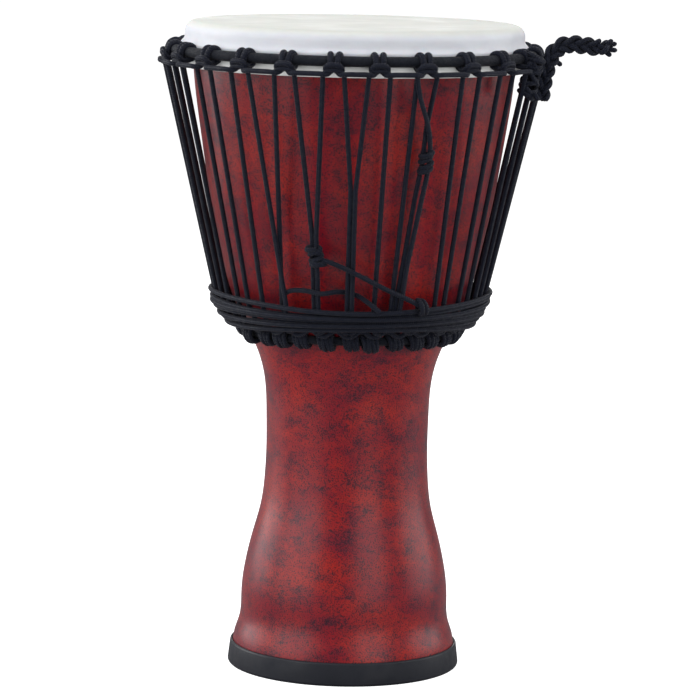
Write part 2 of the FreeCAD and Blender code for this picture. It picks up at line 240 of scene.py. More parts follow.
# %% Braid group
def new_group(name, inputs, outputs):
    """A shader group with named sockets: floats and vectors in, floats out."""
    group = bpy.data.node_groups.new(name, "ShaderNodeTree")
    for label, kind, value in inputs:
        socket = group.interface.new_socket(label, in_out="INPUT", socket_type=kind)
        if value is not None:
            socket.default_value = value
    for label in outputs:
        group.interface.new_socket(label, in_out="OUTPUT", socket_type="NodeSocketFloat")
    return group, group.nodes.new("NodeGroupInput"), group.nodes.new("NodeGroupOutput")


braid_group, braid_in, braid_out = new_group(
    "braid",
    [
        ("UV", "NodeSocketVector", None), ("Strands", "NodeSocketFloat", 8.0),
        ("Pitch", "NodeSocketFloat", 0.012),
    ],
    ["Height", "Painted Gap Shade"],
)
uv = add(braid_group, "ShaderNodeSeparateXYZ", None, Vector=braid_in.outputs["UV"])
around = math_node(braid_group, "MULTIPLY", uv.outputs["X"], braid_in.outputs["Strands"])
along = math_node(braid_group, "DIVIDE", uv.outputs["Y"], braid_in.outputs["Pitch"])
along = math_node(braid_group, "MULTIPLY", along, braid_in.outputs["Strands"])
right_hand = math_node(braid_group, "ADD", around, along)
left_hand = math_node(braid_group, "SUBTRACT", around, along)
ridges = []
for family in (right_hand, left_hand):
    across = math_node(braid_group, "FRACT", family)
    ridges.append(math_node(braid_group, "SINE", math_node(braid_group, "MULTIPLY", across, math.pi)))
counts = [math_node(braid_group, "FLOOR", family) for family in (right_hand, left_hand)]
cells = math_node(braid_group, "ADD", *counts)
turn_on_top = math_node(braid_group, "PINGPONG", cells, 1.0)
over = math_node(braid_group, "MULTIPLY", ridges[0], turn_on_top)
under = math_node(braid_group, "MULTIPLY", ridges[1], math_node(braid_group, "SUBTRACT", 1.0, turn_on_top))
height = math_node(braid_group, "ADD", over, under)
braid_group.links.new(height, braid_out.inputs["Height"])
# The second output marks the gaps between strands, which the materials paint dark as shade.
braid_group.links.new(ramp(braid_group, height, 0.75, 0.15), braid_out.inputs["Painted Gap Shade"])
print("braid group nodes", len(braid_group.nodes))

# %% Grain group
grain_group, grain_in, grain_out = new_group(
    "grain",
    [("Vector", "NodeSocketVector", None), ("Scale", "NodeSocketFloat", 900.0)],
    ["Fine", "Broad"],
)
fine = noise(grain_group, grain_in.outputs["Vector"], grain_in.outputs["Scale"], 4.0, 0.6)
broad_scale = math_node(grain_group, "MULTIPLY", grain_in.outputs["Scale"], 0.05)
broad = noise(grain_group, grain_in.outputs["Vector"], broad_scale, 3.0, 0.55)
grain_group.links.new(fine, grain_out.inputs["Fine"])
grain_group.links.new(broad, grain_out.inputs["Broad"])
print("grain group nodes", len(grain_group.nodes))


def use_grain(tree, scale):
    """The grain group placed in a material, on Object coordinates."""
    return add(tree, "ShaderNodeGroup", {"node_tree": grain_group}, Vector=own_place(tree), Scale=scale)


def use_braid(tree, strands, pitch):
    """The braid group placed in a material, on the piece's own UV map."""
    uv = add(tree, "ShaderNodeUVMap", {"uv_map": "UVMap"}).outputs["UV"]
    return add(tree, "ShaderNodeGroup", {"node_tree": braid_group}, UV=uv, Strands=strands, Pitch=pitch)


# %% [markdown]
# ## The lacquer
# The shell is sprayed: a crimson ground, orange-red where the coat is thin, bluish-black clouds dabbed on
# top, and a fine dark speckle that is densest inside the clouds. A painted image could hold all this, but it
# would need a seam and an unwrapping. Noise on the piece's own coordinates has neither, so the lacquer is
# noise at four scales, mixed by masks. A thin clear coat on the shader gives the soft gloss.

# %% Lacquer
WARM_SCALE = 13.0
CLOUD_SCALE = 42.0
DAB_SCALE = 190.0
SPECK_SCALE = 760.0
SPECK_LIMIT = 0.512
CLOUD_WEIGHT = 0.50
DAB_WEIGHT = 0.42
SPECK_WEIGHT = 0.82
lacquer, tree, shader = material("shell_lacquer")
cloud_space = stretched(tree, (1.0, 1.0, 1.5))
even_space = own_place(tree)
warm_patch = ramp(tree, noise(tree, cloud_space, WARM_SCALE, 6.0, 0.7), 0.38, 0.68)
ground = mix_colour(tree, warm_patch, tint(120, 9, 26), tint(148, 26, 19))
cloud_mask = ramp(tree, noise(tree, cloud_space, CLOUD_SCALE, 8.0, 0.74), 0.46, 0.68)
dab_mask = ramp(tree, noise(tree, even_space, DAB_SCALE, 4.0, 0.7), 0.52, 0.70)
clouded = mix_colour(tree, math_node(tree, "MULTIPLY", cloud_mask, CLOUD_WEIGHT), ground, tint(48, 22, 40))
dabbed = mix_colour(tree, math_node(tree, "MULTIPLY", dab_mask, DAB_WEIGHT), clouded, tint(44, 18, 34))

# %% Lacquer's speckle and gloss
speck = noise(tree, even_space, SPECK_SCALE, 3.0, 0.7)
speck_limit = math_node(tree, "SUBTRACT", SPECK_LIMIT, math_node(tree, "MULTIPLY", cloud_mask, 0.07))
speck_mask = math_node(tree, "MULTIPLY", math_node(tree, "SUBTRACT", speck, speck_limit), 12.0, True)
colour(tree, shader, math_node(tree, "MULTIPLY", speck_mask, SPECK_WEIGHT), dabbed, tint(26, 13, 28))
grain = use_grain(tree, 900.0)
gloss(tree, shader, math_node(tree, "MULTIPLY", grain.outputs["Broad"], 0.14), 0.29)
tree.links.new(bump(tree, grain.outputs["Fine"], 0.22, 0.0003), shader.inputs["Normal"])
shader.inputs["Specular IOR Level"].default_value = 0.3
shader.inputs["Coat Weight"].default_value = 0.08
shader.inputs["Coat Roughness"].default_value = 0.26
print("lacquer nodes", len(tree.nodes))

# %% [markdown]
# ## Rubber, film, enamel and steel
# These four finishes are quieter. Each still has grain in its gloss and a little change of tone, because
# nothing real is one flat colour.

# %% Foot rubber
rubber, tree, shader = material("foot_rubber")
grain = use_grain(tree, 700.0)
colour(tree, shader, grain.outputs["Broad"], tint(12, 15, 24), tint(21, 24, 34))
gloss(tree, shader, grain.outputs["Broad"], 0.02)
tree.links.new(bump(tree, grain.outputs["Fine"], 0.25, 0.0003), shader.inputs["Normal"])
shader.inputs["Specular IOR Level"].default_value = 0.35
print("rubber nodes", len(tree.nodes))

# %% Head film
FLAT_ABOVE = HEAD_Z - 0.001
SIDE_BELOW = HEAD_Z - 0.007
FOLDS_START = HEAD_Z - 0.008
FOLDS_FULL = HEAD_Z - 0.021
film, tree, shader = material("head_film")
grain = use_grain(tree, 420.0)
level = add(tree, "ShaderNodeSeparateXYZ", None, Vector=own_place(tree)).outputs["Z"]
haze = ramp(tree, noise(tree, stretched(tree, (1, 1, 3)), 30.0, 4.0, 0.6), 0.3, 0.8)
# The film is one white; its side below the shoulder is painted a little darker and bluer than the flat top,
# as painted shade.
flat_tone = mix_colour(tree, haze, tint(209, 209, 203), tint(203, 203, 199))
shaded_side_tone = mix_colour(tree, haze, tint(205, 206, 212), tint(197, 198, 205))
colour(tree, shader, ramp(tree, level, SIDE_BELOW, FLAT_ABOVE), shaded_side_tone, flat_tone)
gloss(tree, shader, grain.outputs["Broad"], 0.05)
folds = noise(tree, stretched(tree, (1, 1, 0.25)), 95.0, 3.0, 0.5)
folds = math_node(tree, "MULTIPLY", folds, ramp(tree, level, FOLDS_START, FOLDS_FULL))
pucker = math_node(tree, "ADD", math_node(tree, "MULTIPLY", folds, 8.0), grain.outputs["Fine"])
tree.links.new(bump(tree, pucker, 0.25, 0.0003), shader.inputs["Normal"])
shader.inputs["Subsurface Weight"].default_value = 0.12
shader.inputs["Subsurface Scale"].default_value = 0.004
print("film nodes", len(tree.nodes))

# %% Hoop enamel and ring steel
enamel, tree, shader = material("hoop_enamel")
grain = use_grain(tree, 300.0)
colour(tree, shader, grain.outputs["Broad"], tint(240, 241, 238), tint(228, 230, 228))
gloss(tree, shader, grain.outputs["Broad"], -0.1)

steel, tree, shader = material("ring_steel")
grain = use_grain(tree, 500.0)
colour(tree, shader, grain.outputs["Fine"], tint(140, 142, 145), tint(105, 106, 110))
gloss(tree, shader, grain.outputs["Fine"], -0.15)
shader.inputs["Metallic"].default_value = 1.0
print("finishes", enamel.name, steel.name)

# %% [markdown]
# ## Rope and sleeve
# Both are black polyester with a cast of blue. The rope's braid is coarse enough to catch light on each
# strand, and the sleeve on the rings is a much finer weave pulled tight. Modelling every strand would take
# millions of faces, so the strands are colour and bump on round rope, read from a UV map in real lengths.

# %% Rope and sleeve materials
def braided(name, light, shade, strands, pitch, depth):
    """A braided black finish: strands that catch the light, and painted shade in the gaps between them."""
    made, tree, shader = material(name)
    weave = use_braid(tree, strands, pitch)
    grain = use_grain(tree, 260.0)
    worn = mix_colour(tree, grain.outputs["Broad"], light, shade)
    # The gaps between strands are painted near black, as painted shade.
    colour(tree, shader, weave.outputs["Painted Gap Shade"], worn, tint(6, 7, 9))
    gloss(tree, shader, grain.outputs["Fine"], 0.12)
    tree.links.new(bump(tree, weave.outputs["Height"], 0.9, depth), shader.inputs["Normal"])
    shader.inputs["Specular IOR Level"].default_value = 0.22
    shader.inputs["Sheen Weight"].default_value = 0.05
    shader.inputs["Sheen Roughness"].default_value = 0.4
    return made


rope_finish = braided("rope", tint(12, 20, 41), tint(7, 13, 31), 6.0, 0.013, 0.0006)
sleeve_finish = braided("ring_sleeve", tint(13, 20, 35), tint(7, 13, 26), 22.0, 0.028, 0.0003)
print("materials", [made.name for made in bpy.data.materials])

# %% [markdown]
# ## Three node trees that make the shapes
# Nearly everything here is either turned on a lathe or laid as rope, and both follow a rule, so Geometry
# Nodes make them. The lathe tree sweeps an outline round a tiny circle. The rope tree sweeps a circle along
# a line and stores a UV map: once round the rope in U, and metres along it in V, so that the braid keeps
# its scale. The carousel tree copies a knot to each of its places round a ring.

# %% Geometry node helpers
def geometry_tree(name, inputs):
    """A geometry node tree with named inputs, and its two end nodes."""
    tree = bpy.data.node_groups.new(name, "GeometryNodeTree")
    tree.interface.new_socket("Geometry", in_out="INPUT", socket_type="NodeSocketGeometry")
    for label, kind in inputs:
        tree.interface.new_socket(label, in_out="INPUT", socket_type=kind)
    tree.interface.new_socket("Geometry", in_out="OUTPUT", socket_type="NodeSocketGeometry")
    return tree, tree.nodes.new("NodeGroupInput"), tree.nodes.new("NodeGroupOutput")


def dress(tree, geometry, start, end):
    """Ends a tree: real geometry, smooth shading and the material."""
    real = add(tree, "GeometryNodeRealizeInstances", None, Geometry=geometry)
    smooth = add(tree, "GeometryNodeSetShadeSmooth", None, Geometry=real.outputs["Geometry"])
    painted = add(tree, "GeometryNodeSetMaterial", None, Geometry=smooth.outputs["Geometry"])
    tree.links.new(start.outputs["Material"], painted.inputs["Material"])
    tree.links.new(painted.outputs["Geometry"], end.inputs["Geometry"])


def run_tree(source, tree, values):
    """Runs a tree on an object and returns the result as a plain mesh; the object is removed."""
    modifier = source.modifiers.new("nodes", "NODES")
    modifier.node_group = tree
    for item in tree.interface.items_tree:
        if item.in_out == "INPUT" and item.name in values:
            modifier[item.identifier] = values[item.name]
    graph = bpy.context.evaluated_depsgraph_get()
    mesh = bpy.data.meshes.new_from_object(source.evaluated_get(graph), depsgraph=graph)
    bpy.data.objects.remove(source)
    return mesh


def outward(mesh):
    """Turns a closed mesh's faces outwards if its volume comes out negative."""
    mesh.calc_loop_triangles()
    points = np.zeros(len(mesh.vertices) * 3)
    mesh.vertices.foreach_get("co", points)
    corners = np.zeros(len(mesh.loop_triangles) * 3, dtype=np.int32)
    mesh.loop_triangles.foreach_get("vertices", corners)
    a, b, c = points.reshape(-1, 3)[corners.reshape(-1, 3)].transpose(1, 0, 2)
    volume = float((a * np.cross(b, c)).sum() / 6)
    if volume < 0:
        mesh.flip_normals()
    return abs(volume)


def keep(mesh, name, slot, *nodes):
    """Makes a finished mesh a piece that rides on the drum and stands for CAD nodes."""
    mesh.name = name
    piece = bpy.data.objects.new(name, mesh)
    bpy.context.scene.collection.objects.link(piece)
    volume = outward(mesh)
    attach(piece, "root")
    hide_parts(*nodes)
    print(name, "faces", len(mesh.polygons), "volume", round(volume * 1e6, 1), "cm3")
    return piece


print("pieces are kept on body root")

# %% Lathe tree
lathe, start, end = geometry_tree("lathe", [("Steps", "NodeSocketInt"), ("Material", "NodeSocketMaterial")])
HUB = 0.001
steps = start.outputs["Steps"]
circle = add(lathe, "GeometryNodeCurvePrimitiveCircle", None, Resolution=steps, Radius=HUB)
turned = add(lathe, "GeometryNodeCurveToMesh", None, Curve=circle.outputs["Curve"])
lathe.links.new(start.outputs["Geometry"], turned.inputs["Profile Curve"])
welded = add(lathe, "GeometryNodeMergeByDistance", None, Geometry=turned.outputs["Mesh"], Distance=0.00002)
dress(lathe, welded.outputs["Geometry"], start, end)
print("lathe nodes", len(lathe.nodes))

# %% Rope tree
def mended(tree, value, whole, least):
    """A value that runs from 0 to whole round a loop, mended on the faces where the loop closes."""
    face = add(tree, "GeometryNodeFieldOnDomain", {"domain": "FACE", "data_type": "FLOAT"}, Value=value)
    at_start = math_node(tree, "LESS_THAN", value, least)
    late = math_node(tree, "GREATER_THAN", face.outputs[0], math_node(tree, "MULTIPLY", whole, 0.3))
    extra = math_node(tree, "MULTIPLY", math_node(tree, "MULTIPLY", at_start, late), whole)
    return math_node(tree, "ADD", value, extra)


def captured(tree, geometry, value, label):
    """Keeps a float of the points, so that it can be read after the geometry has changed."""
    node = add(tree, "GeometryNodeCaptureAttribute", None, Geometry=geometry)
    node.capture_items.new("FLOAT", label)
    tree.links.new(value, node.inputs[label])
    return node.outputs["Geometry"], node.outputs[label]


def rope_tree(name, rounded):
    """A tree that lays rope along a line of points, whose corners it may round first."""
    sockets = [("Radius", "NodeSocketFloat"), ("Sides", "NodeSocketInt"), ("Material", "NodeSocketMaterial")]
    if rounded:
        sockets += [("Bend", "NodeSocketFloat"), ("Bend Steps", "NodeSocketInt")]
    tree, start, end = geometry_tree(name, sockets)
    line = start.outputs["Geometry"]
    if rounded:
        bent = add(tree, "GeometryNodeFilletCurve", {"mode": "POLY"}, Curve=line)
        tree.links.new(start.outputs["Bend Steps"], bent.inputs["Count"])
        tree.links.new(start.outputs["Bend"], bent.inputs["Radius"])
        bent.inputs["Limit Radius"].default_value = True
        line = bent.outputs["Curve"]
    line, along = captured(tree, line, add(tree, "GeometryNodeSplineParameter").outputs["Length"], "along")
    line, whole = captured(tree, line, add(tree, "GeometryNodeSplineLength").outputs["Length"], "whole")
    line, swell = captured(tree, line, add(tree, "GeometryNodeInputRadius").outputs["Radius"], "swell")
    circle = add(tree, "GeometryNodeCurvePrimitiveCircle", None, Resolution=start.outputs["Sides"])
    tree.links.new(start.outputs["Radius"], circle.inputs["Radius"])
    place = add(tree, "GeometryNodeSplineParameter").outputs["Factor"]
    section, around = captured(tree, circle.outputs["Curve"], place, "around")
    tube = add(tree, "GeometryNodeCurveToMesh", None, Curve=line, Scale=swell, Fill_Caps=True)
    tree.links.new(section, tube.inputs["Profile Curve"])
    one_turn = add(tree, "ShaderNodeValue").outputs[0]
    one_turn.default_value = 1.0
    across = mended(tree, around, one_turn, 0.001)
    down = mended(tree, along, whole, 0.00001)
    pair = add(tree, "ShaderNodeCombineXYZ", None, X=across, Y=down)
    stored = add(tree, "GeometryNodeStoreNamedAttribute", {"data_type": "FLOAT2", "domain": "CORNER"})
    tree.links.new(tube.outputs["Mesh"], stored.inputs["Geometry"])
    stored.inputs["Name"].default_value = "UVMap"
    tree.links.new(pair.outputs["Vector"], stored.inputs["Value"])
    dress(tree, stored.outputs["Geometry"], start, end)
    return tree


laid_tree = rope_tree("laid_rope", rounded=True)
coiled_tree = rope_tree("coiled_rope", rounded=False)
print("trees", lathe.name, laid_tree.name, coiled_tree.name)

# %% Carousel tree
carousel, start, end = geometry_tree("carousel", [
    ("Knot", "NodeSocketObject"), ("Wobble", "NodeSocketFloat"), ("Tilt", "NodeSocketFloat"),
    ("Seed", "NodeSocketInt"), ("Material", "NodeSocketMaterial"),
])
shape = add(carousel, "GeometryNodeObjectInfo", None, Object=start.outputs["Knot"])
turn = add(carousel, "GeometryNodeInputNamedAttribute", {"data_type": "FLOAT"}, Name="turn")


def swing(label, step):
    """A random angle either way, as large as the tree's input of that name."""
    chance = add(carousel, "FunctionNodeRandomValue", {"data_type": "FLOAT"})
    carousel.links.new(start.outputs[label], chance.inputs[3])
    carousel.links.new(math_node(carousel, "MULTIPLY", start.outputs[label], -1.0), chance.inputs[2])
    carousel.links.new(math_node(carousel, "ADD", start.outputs["Seed"], step), chance.inputs["Seed"])
    return chance.outputs[1]


turned_by = math_node(carousel, "ADD", turn.outputs["Attribute"], swing("Wobble", 0))
rotation = add(carousel, "ShaderNodeCombineXYZ", None, X=swing("Tilt", 1), Y=swing("Tilt", 2), Z=turned_by)
placed = add(carousel, "GeometryNodeInstanceOnPoints")
carousel.links.new(start.outputs["Geometry"], placed.inputs["Points"])
carousel.links.new(shape.outputs["Geometry"], placed.inputs["Instance"])
carousel.links.new(rotation.outputs["Vector"], placed.inputs["Rotation"])
dress(carousel, placed.outputs["Instances"], start, end)
print("carousel nodes", len(carousel.nodes))

# %% Helpers that feed the trees
def polar(angle, radius, height):
    """A place at an angle in degrees from the front towards +X; lengths in mm, result in metres."""
    turn = math.radians(angle)
    return np.array([radius * math.sin(turn), -radius * math.cos(turn), height]) * MM


def at_ring(angle, along, out, up):
    """A place given from the crown ring's centre line: along it, outwards and upwards, in mm."""
    turn = math.radians(angle)
    sideways = np.array([math.cos(turn), math.sin(turn), 0.0])
    outwards = np.array([math.sin(turn), -math.cos(turn), 0.0])
    level = np.array([0.0, 0.0, CROWN_Z])
    return outwards * (CROWN_R + out * MM) + sideways * along * MM + level + np.array([0.0, 0.0, up * MM])


def smooth_line(points, count):
    """Places spread evenly along the natural cubic spline that runs through the given ones."""
    given = np.array(points, dtype=float)
    steps = np.linalg.norm(np.diff(given, axis=0), axis=1)
    place = np.concatenate([[0.0], np.cumsum(steps)])
    last = len(given) - 1
    matrix = np.eye(last + 1)
    right = np.zeros_like(given)
    for i in range(1, last):
        matrix[i, i - 1:i + 2] = steps[i - 1] / 6, (steps[i - 1] + steps[i]) / 3, steps[i] / 6
        right[i] = (given[i + 1] - given[i]) / steps[i] - (given[i] - given[i - 1]) / steps[i - 1]
    bends = np.linalg.solve(matrix, right)
    at = np.linspace(0.0, place[-1], count)
    i = np.clip(np.searchsorted(place, at, side="right") - 1, 0, last - 1)
    b = ((at - place[i]) / steps[i])[:, None]
    a = 1 - b
    curved = ((a ** 3 - a) * bends[i] + (b ** 3 - b) * bends[i + 1]) * (steps[i] ** 2 / 6)[:, None]
    return a * given[i] + b * given[i + 1] + curved


def line_object(lines, closed=False, swell=None):
    """A curve object whose straight splines run through the given places."""
    data = bpy.data.curves.new("line", "CURVE")
    data.dimensions = "3D"
    for places in lines:
        spline = data.splines.new("POLY")
        spline.points.add(len(places) - 1)
        flat = np.ones((len(places), 4))
        flat[:, :3] = places
        spline.points.foreach_set("co", flat.ravel())
        if swell is not None:
            spline.points.foreach_set("radius", np.array(swell, dtype=float))
        spline.use_cyclic_u = closed
    made = bpy.data.objects.new("line", data)
    bpy.context.scene.collection.objects.link(made)
    return made


def lay(lines, radius=ROPE_R, closed=False, bend=None, sides=12, finish=rope_finish, swell=None):
    """Rope along lines of places; with a bend radius, corners are rounded to it where there is room."""
    values = {"Radius": radius, "Sides": sides, "Material": finish}
    if bend is None:
        return run_tree(line_object(lines, closed, swell), coiled_tree, values)
    values.update({"Bend": bend, "Bend Steps": 4})
    return run_tree(line_object(lines, closed, swell), laid_tree, values)


def turned_mesh(outline, closed, finish, steps=192):
    """A mesh turned from an outline of (radius, height) in mm."""
    section = np.array([(radius * MM - HUB, -height * MM, 0.0) for radius, height in outline])
    return run_tree(line_object([section], closed), lathe, {"Steps": steps, "Material": finish})


def arc_points(centre, radius, first, last, count):
    """Points on an arc of an outline, from one angle to another in degrees."""
    turns = [math.radians(first + (last - first) * step / (count - 1)) for step in range(count)]
    return [(centre[0] + radius * math.cos(t), centre[1] + radius * math.sin(t)) for t in turns]


print("rope is laid", ROPE_R * 2, "m thick")


# %% [markdown]
# ## The tail: a free rope that comes first
# The leftover rope is braided on itself and stands stiffly out from the tie-off, so its line is settled
# before anything else. Its centre is a smooth spline on a few chosen places, and three strands wind round
# that line in a figure of eight, as plaiting does: each strand swings side to side once while it moves
# front to back twice. Each strand is a pair of ropes that run side by side, a little out of step.

# %% The tail's own line
TAIL_ROUTE = [
    (171.8, -65.0, 546.0), (173.4, -64.4, 559.0), (176.0, -63.8, 571.8), (179.4, -63.2, 584.4),
    (187.2, -62.6, 594.6), (199.2, -62.2, 597.6), (211.8, -61.8, 595.6), (224.0, -61.6, 594.4),
]
tail_curve = bpy.data.curves.new("tail_line", "CURVE")
tail_curve.dimensions = "3D"
tail_spline = tail_curve.splines.new("NURBS")
tail_spline.points.add(len(TAIL_ROUTE) - 1)
for point, place in zip(tail_spline.points, TAIL_ROUTE):
    point.co = (*[value * MM for value in place], 1.0)
tail_spline.order_u = 3
tail_spline.use_endpoint_u = True
tail_spline.resolution_u = 24
tail_line = bpy.data.objects.new("tail_line", tail_curve)
bpy.context.scene.collection.objects.link(tail_line)
graph = bpy.context.evaluated_depsgraph_get()
line_mesh = bpy.data.meshes.new_from_object(tail_line.evaluated_get(graph), depsgraph=graph)
tail_path = [vertex.co.copy() for vertex in line_mesh.vertices]
bpy.data.objects.remove(tail_line)

# %% Plaiting
BRAID_PITCH = 0.034
FRONT_SWING = 0.0026

# The two ropes of a strand: how far each swings to the side, and how far it is out of step
PAIR = ((0.0062, -0.34), (0.0034, 0.34))


def run_along(places):
    """How far along a line of places each one lies."""
    return np.concatenate([[0.0], np.cumsum(np.linalg.norm(np.diff(places, axis=0), axis=1))])


def even(path, count):
    """A path resampled to evenly spread places."""
    places = np.array([list(place) for place in path])
    run = run_along(places)
    at = np.linspace(0.0, run[-1], count)
    return np.stack([np.interp(at, run, places[:, axis]) for axis in range(3)], axis=1)


def plait(places, strand, side_swing, phase):
    """One rope of a three-strand plait round a line of places."""
    way = np.gradient(places, axis=0)
    way /= np.linalg.norm(way, axis=1)[:, None]
    front = np.cross(way, np.array([0.0, 1.0, 0.0]))
    front /= np.linalg.norm(front, axis=1)[:, None]
    side = np.cross(way, front)
    turn = 2 * math.pi * (run_along(places) / BRAID_PITCH + strand / 3) + phase
    swung = places + front * (side_swing * np.sin(turn))[:, None]
    return swung + side * (FRONT_SWING * np.sin(2 * turn))[:, None]


middle = even(tail_path, 120)
ropes = [plait(middle, strand, side_swing, phase) for strand in range(3) for side_swing, phase in PAIR]
tail = keep(lay(ropes), "plaited_tail", "rope", "tail_braid")

# %% [markdown]
# ## The shell, turned from its outline
# The real shell is moulded in one piece. It could be pulled into shape from a cylinder by subdivision, but
# then no radius would be exact. Here its outline is a smooth curve through a few places, closed inside by
# the same curve moved in by the wall, and the lathe tree turns it.

# %% Shell
WALL = 7.0
FOOT_TUBE_R = 105.5
FOOT_TUBE_LOW = 5.0
FOOT_TUBE_TOP = 20.0
OUTLINE = [
    (FOOT_TUBE_R, FOOT_TUBE_TOP), (103.8, 30.0), (99.9, 42.0), (98.0, 68.0), (94.0, 100.0), (87.6, 127.0),
    (81.0, 152.0), (77.6, 180.0), (76.5, 207.0), (76.9, 240.0), (78.9, 272.0), (85.8, 299.0), (97.8, 324.0),
    (112.8, 358.0), (122.8, 398.0), (132.6, 443.0), (141.9, 500.0), (148.4, 545.0), (151.0, 575.0),
    (151.3, 602.0),
]
RIM = [(151.15, 604.0), (150.7, 605.8), (150.0, 607.2), (149.0, 608.3), (147.8, 608.9), (146.6, 609.1)]
RIM_INNER = (143.6, 603.0)
outside = [tuple(place) for place in smooth_line(OUTLINE, 190)]
wall_inside = [(radius - WALL, height) for radius, height in OUTLINE[1:-1]]
inner_route = [(FOOT_TUBE_R - WALL, FOOT_TUBE_LOW)] + wall_inside + [RIM_INNER]
inside = [tuple(place) for place in smooth_line(inner_route, 80)]
shell_outline = [(FOOT_TUBE_R, FOOT_TUBE_LOW)] + outside + RIM + inside[::-1]
keep(turned_mesh(shell_outline, True, lacquer), "lacquered_shell", "shell_lacquer", "shell")

# %% [markdown]
# ## The rubber foot
# A moulded boot is stretched over the lower edge of the shell. A bevel could soften its edges, but its two
# outer corners are rounded differently and it narrows towards its top lip, so each corner is an arc of the
# outline that is turned.

# %% Rubber foot
FOOT_R = 110.0
FOOT_TOP = 22.0
FOOT_LIP_R = 96.0
FOOT_ROUND = 3.0
FOOT_TOP_ROUND = 2.0
FOOT_TAPER = 2.0
low_corner = arc_points((FOOT_R - FOOT_ROUND, FOOT_ROUND), FOOT_ROUND, -90, 0, 7)
top_middle = (FOOT_R - FOOT_TAPER - FOOT_TOP_ROUND, FOOT_TOP - FOOT_TOP_ROUND)
top_corner = arc_points(top_middle, FOOT_TOP_ROUND, 0, 90, 6)
foot_inside = [(FOOT_TUBE_R, FOOT_TUBE_TOP), (FOOT_TUBE_R, FOOT_TUBE_LOW), (FOOT_LIP_R, FOOT_TUBE_LOW)]
foot_outline = [(FOOT_LIP_R, 0.0)] + low_corner + top_corner + foot_inside
keep(turned_mesh(foot_outline, True, rubber), "foot_boot", "foot_rubber", "rubber_foot")

# %% [markdown]
# ## The head and its hoop
# The head is one sheet of film, pressed in a mould to a flat top, a round shoulder and a collar that flares
# out to its hem. The hem sits in the slot of a hoop, and the crown ring pulls down on that hoop. Cloth
# simulation could stretch a sheet over the rim, but moulded film keeps the mould's shape, so both are turned.

# %% Head
FILM = 0.8
COLLAR = 159.0
SHOULDER = 10.0
FLAT_RADII = (30, 60, 90, 115, 135, 144)
UNDER_RADII = (144, 90, 0)
FLARE = [(159.0, 597.0), (159.1, 594.6), (159.9, 592.8), (161.6, 591.0), (162.8, 589.4), (162.4, 587.6)]
HEM = [(162.4, 580.0), (162.4, 573.0)]
top = HEAD_Z / MM
flat = [(0.0, top)] + [(radius, top) for radius in FLAT_RADII]
outer = flat + arc_points((COLLAR - SHOULDER, top - SHOULDER), SHOULDER, 90, 0, 14) + FLARE + HEM
film_inside = [(radius - FILM, height - FILM / 4) for radius, height in outer[len(flat) + 1:]]
head_outline = outer + film_inside[::-1] + [(radius, top - FILM) for radius in UNDER_RADII]
keep(turned_mesh(head_outline, False, film, steps=288), "head_skin", "head_film", "drum_head")

# %% Hoop
hoop_outline = [
    (158.6, 568.5), (163.2, 568.5), (163.8, 569.1), (163.8, 581.8), (163.1, 582.6), (162.4, 582.6),
    (162.4, 573.0), (161.6, 573.0), (161.6, 582.6), (158.6, 582.6),
]
keep(turned_mesh(hoop_outline, True, enamel), "enamelled_hoop", "hoop_enamel", "flesh_hoop")

# %% [markdown]
# ## The two rings
# Each ring is a steel bar in a woven sleeve. A torus has the right shape but no UV map in real lengths for
# the weave, so the rope tree lays each sleeve round one closed circle. The bars inside are CAD's own, and
# only get the steel.

# %% Rings and their sleeves
def ring_line(radius, height, count=256):
    """Places evenly spread round a level circle; radius and height in metres."""
    turns = np.linspace(0.0, 2 * math.pi, count, endpoint=False)
    return np.stack([radius * np.sin(turns), -radius * np.cos(turns), np.full(count, height)], axis=1)


crown_mesh = lay([ring_line(CROWN_R, CROWN_Z)], CROWN_BAR, closed=True, sides=24, finish=sleeve_finish)
keep(crown_mesh, "woven_crown_sleeve", "ring_sleeve", "crown_ring_sleeve")
lower_mesh = lay([ring_line(LOWER_R, LOWER_Z)], LOWER_BAR, closed=True, sides=20, finish=sleeve_finish)
keep(lower_mesh, "woven_lower_sleeve", "ring_sleeve", "lower_ring_sleeve")
for name in ("crown_ring", "lower_ring"):
    for slot in cad[name].material_slots:
        slot.material = steel

# %% [markdown]
# ## The cradle on the crown ring
# One rope goes right round the drum: at each knot it turns over the ring twice, with the bar of the cow
# hitch in front, and runs straight to the next knot. Knots copied onto a separate ring of rope would never
# join it cleanly, so the whole cradle is one line: a hitch is a list of places in the ring's own directions,
# laid down again at each knot. The hitches in front stand unevenly, as they were tied by hand.

# %% Knot places
HAND_TIED = [-80.0, -65.4, -50.3, -35.5, -20.6, -5.9, 7.4, 21.6, 36.4, 51.2, 65.2]
EVEN_KNOTS = 14
TIE_OFF_KNOT = len(HAND_TIED) - 1
KNOT_GAP = (360.0 + HAND_TIED[0] - HAND_TIED[-1]) / (EVEN_KNOTS + 1)
KNOT_ANGLES = HAND_TIED + [HAND_TIED[-1] + KNOT_GAP * step for step in range(1, EVEN_KNOTS + 1)]
KNOT_COUNT = len(KNOT_ANGLES)
HITCH_RISE = [(-13.5, 12.6, -10.6), (-9.6, 13.4, -10.8), (-4.8, 8.8, -11.6), (-2.4, 6.6, -7.4)]
HITCH_TURN = (-3.0, -6.0)
HITCH_BAR = [(-7.6, 7.8, -8.2), (-6.4, 11.8, -2.6)]
TURN_STEPS = 7
BEDDING = 1.3
TURN_SWELL = 1.3
BAR_SWELL = 1.1


def hitch_places(angle):
    """The centre line of one cow hitch on the crown ring."""
    corner = 45
    bend = (CROWN_BAR / MM + BEDDING) / math.cos(math.radians(corner / 2))
    half = list(HITCH_RISE)
    for step in range(TURN_STEPS):
        around = math.radians(corner * step)
        along = HITCH_TURN[0] + (HITCH_TURN[1] - HITCH_TURN[0]) * step / (TURN_STEPS - 1)
        half.append((along, bend * math.cos(around), bend * math.sin(around)))
    half += HITCH_BAR
    whole = half + [(-along, out, up) for along, out, up in reversed(half)]
    return [at_ring(angle, *place) for place in whole]


